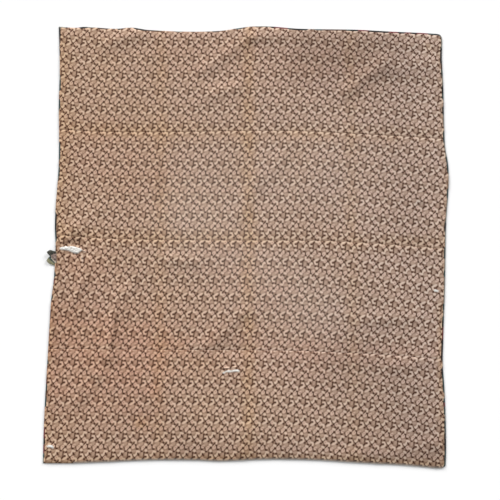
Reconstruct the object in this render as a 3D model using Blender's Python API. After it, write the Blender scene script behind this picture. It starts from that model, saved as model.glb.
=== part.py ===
"""An old quilt lying flat with its printed back up.

The pieced face and its filling are one filled body with a flat underside. Four widths of
printed cotton lie on it as the back, seamed side by side. White filling shows in four
tears, and a torn scrap of the face sticks out of the left edge.

Metres, +Z up. The origin is under the middle of the quilt, on the surface it lies on.
+Y is the top edge of the quilt and +X its right edge. All the tables are in millimetres.
"""
import bisect
import math

import bmesh
import bpy
from mathutils import Vector
from mathutils.bvhtree import BVHTree

MM = 0.001

# Thicknesses and gaps
BODY_MIDDLE = 5.2       # filled body, away from its edges
BODY_EDGE = 2.4         # filled body, at its sewn edge
EDGE_ROUNDING = 18.0    # how far in the body gains most of its thickness
CLOTH = 1.1             # a width of the back
TOUCH = 0.35            # gap between touching pieces
RIM = 4.5               # how far the face shows beyond the back
HEM_LIFT = 0.3          # the folded bottom hem stays this high above the surface

# Grid of the quilt's surface
PITCH = 54.0            # widest spacing of rows and columns
BESIDE_FOLD = 14.0      # extra rows and columns beside seams and old fold lines
BESIDE_EDGE = 26.0      # and inside the outer edges

# Outer edges: (x, y) along the top and bottom, (y, x) down the left and right
TOP_EDGE = (
    (-976, 1109), (-886, 1102), (-843, 1107), (-680, 1097), (-598, 1103), (-515, 1091),
    (-310, 1082), (-147, 1086), (-65, 1098), (16, 1109), (98, 1110), (262, 1097),
    (549, 1092), (712, 1083), (970, 1069), (987, 1058),
)
BOTTOM_EDGE = (
    (-1006, -1086), (-844, -1086), (-610, -1077), (-493, -1072), (-258, -1072), (-140, -1077),
    (94, -1068), (330, -1072), (564, -1086), (760, -1096), (916, -1110), (948, -1109), (962, -1100),
)
LEFT_EDGE = (
    (-1086, -1006), (-915, -1005), (-760, -1001), (-530, -992), (-370, -986), (-290, -982),
    (-210, -973), (-130, -968), (-10, -966), (70, -971), (190, -969), (270, -964), (396, -958),
    (560, -960), (684, -965), (890, -966), (1040, -972), (1109, -976),
)
RIGHT_EDGE = (
    (-1112, 952), (-1096, 962), (-927, 967), (-762, 965), (-684, 962), (-606, 958), (-490, 963),
    (-370, 969), (-250, 976), (70, 988), (152, 994), (233, 1002), (314, 1007), (396, 1005),
    (478, 993), (560, 990), (809, 989), (934, 985), (1050, 987), (1069, 977),
)

# Seams between the widths of the back, top to bottom: (x, y)
SEAMS = (
    ((-956, 572), (-752, 560), (-450, 558), (6, 564), (260, 563), (463, 553), (766, 537), (990, 522)),
    ((-966, 34), (-845, 25), (-695, 15), (-294, 8), (356, 5), (556, -4), (756, -18), (982, -35)),
    ((-998, -532), (-636, -535), (6, -539), (253, -542), (550, -554), (748, -566), (960, -584)),
)
SEAM_SINK = 0.9
SEAM_REACH = 13.0

# Lines where the quilt was kept folded: x of each upright line
OLD_FOLDS = (-433, -3, 517)
OLD_FOLD_SINK = 0.6
OLD_FOLD_REACH = 12.0

# Creases and rumples: start x, start y, end x, end y, height (a trough is negative), reach
CREASES = (
    (-725, 1013, -541, 1085, 4.5, 36),
    (-228, 882, 6, 1050, 6.5, 36),
    (6, 1050, 154, 1056, 6.5, 36),
    (17, 1000, 17, 620, -2.4, 30),
    (-191, 746, -65, 788, 4.0, 34),
    (302, 1000, 302, 780, -3.0, 38),
    (490, 762, 695, 923, 6.0, 38),
    (700, 880, 960, 905, 3.0, 44),
    (-470, 900, -441, 200, -2.4, 32),
    (67, 391, -44, 136, 3.6, 36),
    (235, 519, 67, 289, 2.8, 32),
    (-400, -90, -259, -100, 3.2, 32),
    (-945, 10, -871, 62, 7.0, 36),
    (-871, 62, -735, 170, 4.5, 38),
    (-806, -110, -852, -349, 5.5, 34),
    (-620, -250, -696, -571, 7.5, 36),
    (-748, -660, -830, -782, 4.5, 34),
    (-29, -349, -207, -527, 5.0, 36),
    (-190, -537, -29, -537, -2.0, 28),
    (552, -389, 940, -395, 3.4, 38),
    (940, -572, 697, -625, 4.2, 36),
    (-22, -927, -22, -1040, 4.5, 34),
    (188, -980, 192, -1040, 3.6, 30),
    (470, -1060, 930, -1000, 4.5, 44),
)

# Tears in the back: number of the width, then the outline of the hole (x, y)
TEARS = (
    (3, ((-945, -30), (-936, -39), (-921, -37), (-892, -41), (-881, -53), (-861, -59), (-844, -57),
         (-837, -37), (-861, -24), (-881, -20), (-919, -26))),
    (4, ((-129, -648), (-122, -654), (-110, -643), (-96, -648), (-72, -645), (-48, -644), (-45, -639),
         (-52, -634), (-72, -630), (-82, -638), (-98, -636), (-111, -637))),
    (4, ((-990, -1004), (-979, -1011), (-970, -1010), (-961, -1014), (-955, -1016), (-953, -1008),
         (-960, -1000), (-979, -1000))),
    (3, ((921, -243), (930, -249), (941, -250), (944, -245), (936, -240), (925, -238))),
)
TUFT_PROUD = (1.6, 0.9, 0.8, 0.5)       # how far each tuft stands above the cloth around it
TUFT_CLEAR = 0.6                        # from the torn edge
TUFT_ROUNDING = 2.0

# The torn scrap: (x, y, height of its underside), its seated side first
SCRAP = (
    (0, -121, 0.0), (0, -98, 0.0), (0, -70, 0.0), (0, -42, 0.0),
    (-986, -40, 1.5), (-1006, -51, 6.5), (-993, -70, 2.0), (-1004, -92, 6.0), (-996, -108, 4.0), (-980, -117, 1.0),
)
SCRAP_SEATED = 4        # of these points lie along the quilt's own edge
SCRAP_MIDDLE = (-983, -78, 0.6)
SCRAP_THICK = 1.4

# Colours, linear
TAN_PRINT = (0.32, 0.22, 0.16)
DARK_PATCH = (0.02, 0.022, 0.024)
WHITE_COTTON = (0.72, 0.70, 0.66)
OLIVE_PATCH = (0.11, 0.10, 0.055)


def curve_at(table, t):
    """Value of a smooth curve through the (station, value) rows of a table, held level past its ends."""
    rows = sorted(table)
    stations = [row[0] for row in rows]
    if t <= stations[0]:
        return float(rows[0][1])
    if t >= stations[-1]:
        return float(rows[-1][1])
    k = bisect.bisect_right(stations, t) - 1
    span = stations[k + 1] - stations[k]
    f = (t - stations[k]) / span

    def slope(i):
        before = max(i - 1, 0)
        after = min(i + 1, len(rows) - 1)
        return (rows[after][1] - rows[before][1]) / (stations[after] - stations[before])

    a, b = rows[k][1], rows[k + 1][1]
    ta, tb = slope(k) * span, slope(k + 1) * span
    return ((2 * f**3 - 3 * f**2 + 1) * a + (f**3 - 2 * f**2 + f) * ta
            + (3 * f**2 - 2 * f**3) * b + (f**3 - f**2) * tb)


def left_x(y):
    return curve_at(LEFT_EDGE, y)


def right_x(y):
    return curve_at(RIGHT_EDGE, y)


LINES = (TOP_EDGE,) + SEAMS + (BOTTOM_EDGE,)


def distance_to_segment(x, y, x0, y0, x1, y1):
    dx, dy = x1 - x0, y1 - y0
    along = ((x - x0) * dx + (y - y0) * dy) / (dx * dx + dy * dy)
    along = min(max(along, 0.0), 1.0)
    return math.hypot(x - x0 - along * dx, y - y0 - along * dy)


def hump(distance, reach):
    return math.exp(-(distance / reach) ** 2)


def body_height(x, y):
    """Height of the filled body's upper side, from its edges, seams, old folds and creases."""
    inside = min(
        x - left_x(y), right_x(y) - x,
        curve_at(TOP_EDGE, x) - y, y - curve_at(BOTTOM_EDGE, x),
    )
    inside = max(inside, 0.0)
    fullness = 1 - math.exp(-inside / EDGE_ROUNDING)
    relief = 0.0
    for seam in SEAMS:
        relief -= SEAM_SINK * hump(y - curve_at(seam, x), SEAM_REACH)
    for fold in OLD_FOLDS:
        relief -= OLD_FOLD_SINK * hump(x - fold, OLD_FOLD_REACH)
    for x0, y0, x1, y1, height, reach in CREASES:
        relief += height * hump(distance_to_segment(x, y, x0, y0, x1, y1), reach)
    return BODY_EDGE + (BODY_MIDDLE - BODY_EDGE + relief) * fullness


def fill_between(stops):
    """The stops with more between them, so that none are further apart than the pitch."""
    filled = [stops[0]]
    for a, b in zip(stops, stops[1:]):
        count = max(1, math.ceil((b - a) / PITCH))
        filled += [a + (b - a) * (i + 1) / count for i in range(count)]
    return filled


def column_shares():
    """Where the columns stand, from 0 at the left edge to 1 at the right."""
    width = right_x(0) - left_x(0)
    stops = [0.0, RIM, BESIDE_EDGE]
    for fold in OLD_FOLDS:
        middle = fold - left_x(0)
        stops += [middle - BESIDE_FOLD, middle, middle + BESIDE_FOLD]
    stops += [width - BESIDE_EDGE, width - RIM, width]
    return [s / width for s in fill_between(stops)]


def row_stops(height, first_row_at_edge, last_row_at_edge):
    """Distances of the rows of one width of the back from its upper line."""
    upper = [0.0, RIM, BESIDE_EDGE] if first_row_at_edge else [0.0, BESIDE_FOLD]
    lower = [height - BESIDE_EDGE, height] if last_row_at_edge else [height - BESIDE_FOLD, height]
    return fill_between(upper + lower)


def row_point(upper, lower, share, u):
    """A point on the row that lies at a share of the way from the upper line to the lower one."""

    def row_y(x):
        return curve_at(upper, x) * (1 - share) + curve_at(lower, x) * share

    left, right = left_x(row_y(-990)), right_x(row_y(980))
    for _ in range(3):
        left, right = left_x(row_y(left)), right_x(row_y(right))
    x = left + (right - left) * u
    return x, row_y(x)


def build_rows():
    """The grid as rows of (x, y), top to bottom, and the first and last row of each width."""
    shares = column_shares()
    rows, spans = [], []
    for k in range(len(LINES) - 1):
        upper, lower = LINES[k], LINES[k + 1]
        height = curve_at(upper, 0) - curve_at(lower, 0)
        stops = row_stops(height, k == 0, k == len(LINES) - 2)
        first = len(rows) if k == 0 else len(rows) - 1
        for stop in stops if k == 0 else stops[1:]:
            rows.append([row_point(upper, lower, stop / height, u) for u in shares])
        spans.append((first, len(rows) - 1))
    return rows, spans


def skin(bm, grid):
    """Faces between neighbouring rows of vertices, split along the same diagonal everywhere."""
    for upper, lower in zip(grid, grid[1:]):
        for i in range(len(upper) - 1):
            bm.faces.new((upper[i], lower[i], lower[i + 1]))
            bm.faces.new((upper[i], lower[i + 1], upper[i + 1]))


def outline_of(grid):
    """The outer vertices of a grid, anticlockwise from its upper left corner."""
    left = [row[0] for row in grid]
    right = [row[-1] for row in grid]
    return left + grid[-1][1:-1] + right[::-1] + grid[0][-2:0:-1]


def join_rims(bm, upper_rim, lower_rim):
    count = len(upper_rim)
    for i in range(count):
        j = (i + 1) % count
        bm.faces.new((upper_rim[j], upper_rim[i], lower_rim[i], lower_rim[j]))


def as_object(bm, name, colour, roughness):
    bmesh.ops.recalc_face_normals(bm, faces=bm.faces)
    mesh = bpy.data.meshes.new(name)
    bm.to_mesh(mesh)
    bm.free()
    mesh.shade_smooth()
    mesh.set_sharp_from_angle(angle=math.radians(40))
    material = bpy.data.materials.new(name)
    material.use_nodes = True
    principled = material.node_tree.nodes["Principled BSDF"]
    principled.inputs["Base Color"].default_value = (*colour, 1.0)
    principled.inputs["Roughness"].default_value = roughness
    principled.inputs["Metallic"].default_value = 0.0
    mesh.materials.append(material)
    obj = bpy.data.objects.new(name, mesh)
    bpy.context.scene.collection.objects.link(obj)
    return obj


def at(x, y, z):
    return Vector((x, y, z)) * MM


def build_body(rows):
    """The pieced face with its filling: relief above, flat below."""
    bm = bmesh.new()
    upper = [[bm.verts.new(at(x, y, body_height(x, y))) for x, y in row] for row in rows]
    skin(bm, upper)
    rim = outline_of(upper)
    base = [bm.verts.new((v.co.x, v.co.y, 0.0)) for v in rim]
    join_rims(bm, rim, base)
    bm.faces.new(base[::-1])
    bmesh.ops.triangulate(bm, faces=[f for f in bm.faces if len(f.verts) > 3])
    return as_object(bm, "quilt_body", DARK_PATCH, 0.9)


def hem_rows(row, outer):
    """Rows that carry the bottom edge of the back down over the edge of the body."""
    drop = []
    for x, y in row:
        top = body_height(x, y) + TOUCH + (CLOTH if outer else 0.0)
        away = TOUCH + (CLOTH if outer else 0.0)
        if outer:
            stages = ((0.8 * away, top - 0.35), (away, 0.6 * top), (away, HEM_LIFT))
        else:
            stages = ((away, top), (away, 0.6 * top), (away, HEM_LIFT))
        drop.append([at(x, y - out, z) for out, z in stages])
    return [[column[k] for column in drop] for k in range(3)]


def build_width(rows, spans, number):
    """One width of the back, lying on the body and ending inside its rim."""
    first, last = spans[number - 1]
    chosen = [row[1:-1] for row in rows[first:last + 1]]
    if number == 1:
        chosen = chosen[1:]
    half_gap = TOUCH / 2
    surfaces = []
    for outer in (True, False):
        lift = TOUCH + (CLOTH if outer else 0.0)
        grid = []
        for k, row in enumerate(chosen):
            shift = 0.0
            if k == 0 and number > 1:
                shift = -half_gap
            if k == len(chosen) - 1 and number < len(spans):
                shift = half_gap
            grid.append([at(x, y + shift, body_height(x, y) + lift) for x, y in row])
        if number == len(spans):
            grid += hem_rows(chosen[-1], outer)
        surfaces.append(grid)
    bm = bmesh.new()
    upper, lower = [[[bm.verts.new(p) for p in row] for row in grid] for grid in surfaces]
    skin(bm, upper)
    skin(bm, lower)
    join_rims(bm, outline_of(upper), outline_of(lower))
    bmesh.ops.triangulate(bm, faces=[f for f in bm.faces if len(f.verts) > 3])
    return as_object(bm, f"back_width_{number}", TAN_PRINT, 0.88)


def prism(outline, low, high):
    bm = bmesh.new()
    lower = [bm.verts.new(at(x, y, low)) for x, y in outline]
    upper = [bm.verts.new(at(x, y, high)) for x, y in outline]
    bm.faces.new(lower[::-1])
    top = bm.faces.new(upper)
    join_rims(bm, upper, lower)
    return bm, top


def cut_tear(width, outline, number):
    bm, _ = prism(outline, -5.0, 30.0)
    cutter = as_object(bm, f"tear_cutter_{number}", TAN_PRINT, 0.9)
    cutter.hide_render = True
    cutter.display_type = "WIRE"
    modifier = width.modifiers.new(f"tear_{number}", "BOOLEAN")
    modifier.operation = "DIFFERENCE"
    modifier.solver = "EXACT"
    modifier.object = cutter


def drawn_in(outline, distance):
    """The outline moved inwards by a distance, corner by corner."""
    moved = []
    for k, (x, y) in enumerate(outline):
        bx, by = outline[k - 1]
        ax, ay = outline[(k + 1) % len(outline)]
        before = Vector((x - bx, y - by)).normalized()
        after = Vector((ax - x, ay - y)).normalized()
        normal = Vector((-before.y - after.y, before.x + after.x))
        normal.normalize()
        stretch = max(normal.dot(Vector((-before.y, before.x))), 0.5)
        moved.append((x + normal.x * distance / stretch, y + normal.y * distance / stretch))
    return moved


def highest_under(tree, body_mesh, outline):
    """The body's highest point within an outline's reach, in millimetres."""
    xs = [p[0] for p in outline]
    ys = [p[1] for p in outline]
    heights = []
    steps = 6
    for i in range(steps + 1):
        for j in range(steps + 1):
            x = min(xs) + (max(xs) - min(xs)) * i / steps
            y = min(ys) + (max(ys) - min(ys)) * j / steps
            hit = tree.ray_cast(at(x, y, 100.0), Vector((0, 0, -1)))[0]
            heights.append(hit.z / MM)
    for v in body_mesh.vertices:
        x, y = v.co.x / MM, v.co.y / MM
        if min(xs) < x < max(xs) and min(ys) < y < max(ys):
            heights.append(v.co.z / MM)
    return max(heights)


def build_tuft(tree, body_mesh, outline, number):
    """White filling that fills a tear and stands a little proud of the cloth."""
    shape = drawn_in(outline, TUFT_CLEAR)
    low = highest_under(tree, body_mesh, outline) + TOUCH
    high = low + CLOTH + TUFT_PROUD[number - 1]
    bm, top = prism(shape, low, high - TUFT_ROUNDING * 0.4)
    bmesh.ops.inset_region(bm, faces=[top], thickness=TUFT_ROUNDING * MM, depth=TUFT_ROUNDING * 0.4 * MM)
    bmesh.ops.triangulate(bm, faces=bm.faces)
    return as_object(bm, f"filling_tuft_{number}", WHITE_COTTON, 0.95)


def build_scrap():
    """The torn scrap beside the left edge: seated along the edge, curled up at its tips."""
    points = []
    for k, (x, y, z) in enumerate(SCRAP):
        points.append((left_x(y) - TOUCH - 0.2 if k < SCRAP_SEATED else x, y, z))
    bm = bmesh.new()
    lower = [bm.verts.new(at(*p)) for p in points]
    upper = [bm.verts.new(at(x, y, z + SCRAP_THICK)) for x, y, z in points]
    x, y, z = SCRAP_MIDDLE
    low_middle = bm.verts.new(at(x, y, z))
    high_middle = bm.verts.new(at(x, y, z + SCRAP_THICK + 1.2))
    count = len(points)
    for i in range(count):
        j = (i + 1) % count
        bm.faces.new((upper[i], upper[j], high_middle))
        bm.faces.new((lower[j], lower[i], low_middle))
    join_rims(bm, upper, lower)
    bmesh.ops.triangulate(bm, faces=[f for f in bm.faces if len(f.verts) > 3])
    return as_object(bm, "torn_scrap", OLIVE_PATCH, 0.9)


def main():
    for obj in list(bpy.data.objects):
        bpy.data.objects.remove(obj, do_unlink=True)
    rows, spans = build_rows()
    body = build_body(rows)
    bm = bmesh.new()
    bm.from_mesh(body.data)
    tree = BVHTree.FromBMesh(bm)
    bm.free()
    widths = [build_width(rows, spans, number) for number in range(1, len(spans) + 1)]
    for number, (width_number, outline) in enumerate(TEARS, start=1):
        cut_tear(widths[width_number - 1], outline, number)
        build_tuft(tree, body.data, outline, number)
    build_scrap()


main()
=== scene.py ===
"""The looks of an old quilt that lies flat with its printed back up.

Four widths of printed cotton, seamed side by side, lie on a filled, pieced body. The dark
face shows as a rim round the back, white filling shows in four tears, and a torn scrap of
the face sticks out of the left edge.

Tables are in millimetres in the frame's own axes: +Y is the top edge of the quilt, +X its
right edge and +Z its thickness.
"""
import math
import random

import bmesh
import bpy
import numpy as np
from mathutils import Matrix, Vector, noise


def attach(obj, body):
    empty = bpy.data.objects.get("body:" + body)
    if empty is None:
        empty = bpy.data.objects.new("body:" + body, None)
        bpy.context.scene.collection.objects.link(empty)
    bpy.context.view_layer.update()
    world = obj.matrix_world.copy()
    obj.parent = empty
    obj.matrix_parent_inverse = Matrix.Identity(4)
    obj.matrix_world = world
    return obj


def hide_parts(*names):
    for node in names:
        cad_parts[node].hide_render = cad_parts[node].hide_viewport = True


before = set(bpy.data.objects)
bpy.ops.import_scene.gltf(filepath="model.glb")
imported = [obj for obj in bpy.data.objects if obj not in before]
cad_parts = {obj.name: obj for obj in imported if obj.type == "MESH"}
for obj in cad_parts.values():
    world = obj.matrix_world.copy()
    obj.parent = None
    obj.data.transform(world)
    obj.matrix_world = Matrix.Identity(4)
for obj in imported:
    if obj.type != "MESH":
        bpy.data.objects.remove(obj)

bl_info = {
    "name": "Old Quilt, Printed Back Up",
    "version": (1, 0, 0),
    "blender": (4, 5, 0),
    "location": "3D View > Sidebar > Quilt",
    "description": "Builds an old pieced quilt that lies flat with its printed back up",
    "category": "Object",
}

MM = 0.001
BODY = "root"

# The filled body. Its edge is a little thicker than the frame's, so that the rim shows
BODY_MIDDLE = 5.2
BODY_EDGE = 3.1
EDGE_ROUNDING = 18.0
BODY_ACROSS = 1970.0
BODY_DOWN = 2180.0
BODY_CLOSE_LINES = (0.0, 2.0, 5.0)      # the grid's first lines from each edge
EDGE_SWELL = 0.8        # how far its edge is rounded above
EDGE_SWELL_BELOW = 0.9
EDGE_SWELL_REACH = 1.8

# The pieced face
FACE_COLOURS = {"k": "black", "t": "teal", "n": "brown", "r": "wine", "g": "grey"}
PATCH_ORDER = "ktnkgrtknnktgkrkt"
PATCH_GROOVE = 0.55     # depth of the seams between patches
PATCH_GROOVE_REACH = 6.0
PATCH_GROOVE_END = 14.0     # they fade out this near the edge
FACE_BORDER = 31.0      # patches this near the edge take the cloth of the rim
FILLING_INSET = 13.0    # the filling starts this far inside the edge
TURNING = 9.0           # the turned-in cloth of the back's seams hides the filling within this

# The printed back
BACK_ACROSS = 1960.0
WIDTH_HEIGHT = 545.0    # of one width between its seams
BACK_CLOSE_LINES = (0.0, 1.4, 4.0)      # the grid's first lines from each edge
CLOTH_TOP = 1.45        # its upper side above the body
WAVES = (0.55, 60.0), (0.22, 21.0)      # its slight unevenness: height, length
SEAM_TUCK = 0.8         # how far the edges of two widths are drawn down at their seam
SEAM_TUCK_REACH = 2.4
PUCKER = 0.16           # height of the small puckers that the stitches draw up
PUCKER_LENGTH = 12.0
PUCKER_REACH = 12.0
PUCKER_FROM_SEAM = 5.0
TOP_PUCKERS = 0.4       # how strong they are along the top edge
EDGE_TURN = 0.9         # how far the back's turned outer edge falls
EDGE_TURN_REACH = 2.2
HEM_BEND = 7.0          # the bottom hem bends down from this far above its edge
HEM_REACH = 1.2         # how far it stands outside the body
HEM_LOW = 0.85          # its lowest edge above the surface
HEM_OVER = 0.35         # share of its bend that lies on the edge before it falls
HEM_PALE = 0.9          # its fold is worn pale
HEM_PALE_REACH = 4.0
HEM_PALE_FROM = -860.0  # to the right of this
EDGE_BLUR = 1.0         # softness of the print's edges

# The torn edges, and the filling in the tears
TEAR_CUTS = 4           # how often each side of the grid's squares is cut round a tear
FRAY = 1.5              # how ragged a torn edge is
FRAY_LENGTH = 3.5
TORN_MARGIN = 0.9       # faces that reach no further than this beyond the hole are torn out
TORN_LIFT = 1.9         # how far a torn edge curls up
TORN_REACH = 4.5
TORN_PALE = 0.6
TORN_PALE_REACH = 1.6
TUFT_SPACING = 1.6
TUFT_MARGIN = 3.0       # how far a tuft's grid reaches past the tear
TUFT_UNDER = 2.4        # how far the tuft runs under the torn edge
TUFT_THICK = 0.9
TUFT_LOW = 0.55         # its lowest parts above the body
TUFT_RISE = 3.0         # it rises over this much from the edge of the tear
TUFT_LUMPS = (0.15, 1.1)
STRANDS_PER_TUFT = 90
STRAND_LENGTH = (6.0, 18.0)
STRAND_INSET = 1.0
FULL_TEAR = (100.0, 16.0)   # a tear of this length and height has all its strands, and long ones

# The stage: half the floor's side and its depth below the quilt in metres, the film in millimetres
FLOOR_HALF = 10.0
FLOOR_DROP = 0.0002
FILM_WIDTH = 36.0

# Outer edges: (x, y) along the top and bottom, (y, x) down the left and right
TOP_EDGE = (
    (-976, 1109), (-886, 1102), (-843, 1107), (-680, 1097), (-598, 1103), (-515, 1091),
    (-310, 1082), (-147, 1086), (-65, 1098), (16, 1109), (98, 1110), (262, 1097),
    (549, 1092), (712, 1083), (970, 1069), (987, 1058),
)
BOTTOM_EDGE = (
    (-1006, -1086), (-844, -1086), (-610, -1077), (-493, -1072), (-258, -1072), (-140, -1077),
    (94, -1068), (330, -1072), (564, -1086), (760, -1096), (916, -1110), (948, -1109), (962, -1100),
)
LEFT_EDGE = (
    (-1086, -1006), (-915, -1005), (-760, -1001), (-530, -992), (-370, -986), (-290, -982),
    (-210, -973), (-130, -968), (-10, -966), (70, -971), (190, -969), (270, -964), (396, -958),
    (560, -960), (684, -964), (890, -963), (1040, -969), (1109, -972),
)
RIGHT_EDGE = (
    (-1112, 952), (-1096, 962), (-927, 967), (-762, 965), (-684, 962), (-606, 958), (-490, 963),
    (-370, 969), (-250, 976), (70, 988), (152, 994), (233, 1002), (314, 1007), (396, 1005),
    (478, 993), (560, 990), (809, 989), (934, 985), (1050, 987), (1069, 977),
)

# Seams between the widths of the back, top to bottom: (x, y)
SEAMS = (
    ((-956, 572), (-752, 560), (-450, 558), (6, 564), (260, 563), (463, 553), (766, 537), (990, 522)),
    ((-966, 34), (-845, 25), (-695, 15), (-294, 8), (356, 5), (556, -4), (756, -18), (982, -35)),
    ((-998, -532), (-636, -535), (6, -539), (253, -542), (550, -554), (748, -566), (960, -584)),
)
LINES = (TOP_EDGE,) + SEAMS + (BOTTOM_EDGE,)
ABOUT_LEFT, ABOUT_RIGHT = -990.0, 980.0     # where the search for the side edges starts
SEARCH_ROUNDS = 4
SEAM_SINK = 0.45
SEAM_REACH = 13.0

# Lines where the quilt was kept folded: x of each upright line
OLD_FOLDS = (-433, -3, 517)
OLD_FOLD_SINK = 0.6
OLD_FOLD_REACH = 12.0

# Creases and rumples: start x, start y, end x, end y, height (a trough is negative), reach
CREASES = (
    (-725, 1013, -541, 1085, 4.5, 36), (-228, 882, 6, 1050, 4.6, 36), (40, 1054, 154, 1056, 3.6, 34),
    (17, 1000, 17, 620, -2.4, 30), (-191, 746, -65, 788, 4.0, 34), (302, 1000, 302, 780, -3.0, 38),
    (490, 762, 695, 923, 6.0, 38), (700, 880, 960, 905, 3.0, 44), (-470, 900, -441, 200, -2.4, 32),
    (67, 391, -44, 136, 3.6, 36), (235, 519, 67, 289, 2.8, 32), (-400, -90, -259, -100, 3.2, 32),
    (-945, 10, -871, 62, 3.6, 36), (-871, 62, -735, 170, 2.2, 38), (-806, -110, -852, -349, 5.5, 34),
    (-620, -250, -696, -571, 7.5, 36), (-748, -660, -830, -782, 4.5, 34),
    (-646, -300, -656, -400, -2.2, 13), (-656, -400, -676, -525, -3.0, 13),
    (-813, -225, -872, -345, -2.4, 14), (-542, -183, -564, -268, -2.0, 13),
    (-769, -671, -832, -757, -2.0, 13), (-29, -349, -207, -527, 5.0, 36),
    (-190, -537, -29, -537, -2.0, 28), (571, -396, 820, -375, 2.6, 34), (940, -572, 697, -625, 2.6, 36),
    (-22, -927, -22, -1040, 4.5, 34), (188, -980, 192, -1040, 3.6, 30),
    (470, -1060, 930, -1000, 3.2, 44),
)

# Tears in the back: number of the width, how high the filling stands, how far round it the
# cloth's grid is made closer, outline of the hole
TEARS = (
    (3, 2.4, 46, ((-945, -31), (-936, -40), (-921, -40), (-900, -44), (-881, -52), (-866, -58), (-850, -57),
                  (-842, -49), (-833, -43), (-838, -34), (-861, -27), (-881, -22), (-905, -25), (-925, -25))),
    (4, 1.0, 16, ((-129, -648), (-122, -653), (-110, -644), (-96, -646), (-72, -643), (-48, -643),
                  (-45, -639), (-52, -635), (-72, -632), (-82, -637), (-98, -637), (-111, -639))),
    (4, 1.4, 11, ((-990, -1004), (-979, -1011), (-970, -1010), (-961, -1014), (-955, -1016),
                  (-953, -1008), (-960, -1000), (-979, -1000))),
    (3, 0.8, 11, ((921, -243), (930, -249), (941, -250), (944, -245), (936, -240), (925, -238))),
)

# Curls of cloth beside the tears: start x, start y, end x, end y, reach, height
CURLS = (
    (-840, -38, -820, -46, 3.2, 2.6),
    (-820, -46, -817, -56, 3.2, 2.0),
    (-832, -64, -827, -104, 3.4, 3.6),
    (-821, -66, -820, -98, 3.2, -0.5),
    (-128, -626, -60, -621, 3.5, 2.2),
    (-930, -19, -880, -13, 8.0, -0.5),
)

# The dark rim of the face beyond the back: where each stretch starts, and its cloth
RIM_SHOWS = {"k": 9.2, "t": 7.6, "n": 7.8, "r": 7.0, "g": 4.8, "-": 0.9}
RIM_SOFTENING = 5.0     # how far a change between two stretches is spread
RIM_STEP = 4.0
RIM_REACH = 1120        # the rim's charts lie within this of the middle
RIM_LEFT = (
    (1111, "k"), (1055, "n"), (1018, "-"), (986, "n"), (960, "-"), (851, "g"), (830, "t"), (772, "-"),
    (731, "t"), (674, "-"), (503, "t"), (416, "-"), (380, "t"), (334, "g"), (314, "-"), (147, "k"),
    (56, "t"), (0, "-"), (-150, "t"), (-180, "-"), (-190, "r"), (-210, "-"), (-270, "t"), (-290, "-"),
    (-591, "t"), (-606, "-"), (-704, "t"), (-738, "n"), (-772, "t"), (-816, "-"), (-918, "r"),
    (-970, "k"), (-995, "r"), (-1043, "t"), (-1063, "g"),
)
RIM_RIGHT = (
    (1111, "g"), (997, "k"), (913, "n"), (882, "t"), (851, "g"), (798, "k"), (762, "t"), (726, "-"),
    (689, "k"), (648, "g"), (581, "-"), (560, "t"), (503, "g"), (437, "t"), (349, "-"), (268, "t"),
    (222, "g"), (101, "k"), (51, "g"), (-30, "t"), (-85, "g"), (-140, "t"), (-175, "g"), (-310, "t"),
    (-344, "g"), (-369, "t"), (-389, "k"), (-428, "r"), (-488, "k"), (-591, "-"), (-625, "k"),
    (-660, "t"), (-748, "-"), (-772, "t"), (-796, "r"), (-816, "t"), (-855, "g"), (-879, "t"),
    (-941, "k"), (-1024, "t"),
)
RIM_TOP = (
    (-990, "g"), (-935, "-"), (-864, "k"), (-828, "g"), (-797, "-"), (-771, "n"), (-720, "-"),
    (-669, "k"), (-654, "-"), (-587, "k"), (-530, "n"), (-454, "-"), (-377, "g"), (-341, "-"),
    (-183, "n"), (-147, "-"), (-65, "t"), (-30, "-"), (32, "g"), (114, "k"), (134, "r"), (201, "t"),
    (216, "k"), (303, "-"), (339, "t"), (375, "n"), (498, "t"), (523, "k"), (559, "r"), (616, "k"),
    (718, "r"), (764, "k"), (800, "r"), (831, "k"), (862, "r"), (918, "t"), (948, "k"),
)

# The printed repeat. A row repeats every REPEAT, and each row stands SLANT to the right of
# the row above it and ROW_STEP below it.
REPEAT = 78.5
SLANT = 22.8
ROW_STEP = 88.8
# The cloth is a little wider towards the right: (x, repeats from the middle)
REPEATS_ACROSS = ((-1100, -14.19), (0, 0.0), (313, 4.0), (953, 12.0), (1033, 13.0))
# Where the print of each width stands: the x of one repeat, its distance from a seam, the
# step of its rows and which way up it is. The cloth has been pulled out of square: sway is how
# far the print stands to the right at the left, middle and right of the width, for its top,
# its middle and its bottom, and droop is how far it hangs down at the right of those.
PRINT_STARTS = (
    {"x": 9, "seam": 0, "above": 25.5, "row": 86.5, "turned": False, "droop": (0, 0, 0),
     "sway": ((-31, -26, -20), (-19, -12, -10), (-6, -3, -1))},
    {"x": 2, "seam": 1, "above": 29.5, "row": 89.2, "turned": False, "droop": (0, 0, 0),
     "sway": ((-15, -4, -1), (-14, -13, -6), (-2, 1, 1))},
    {"x": -21.5, "seam": 1, "above": -18, "row": 88.4, "turned": True, "droop": (2, 6, 10),
     "sway": ((4, 6, 8), (12, 10, 12), (3, -5, -13))},
    {"x": 12.5, "seam": 2, "above": -72, "row": 89.2, "turned": False, "droop": (12, 10, 4),
     "sway": ((6, 2, 5), (-1, 9, 9), (-2, 16, 16))},
)
SWAY_REACH = 900        # sway and droop are given this far to each side of the middle
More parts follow.
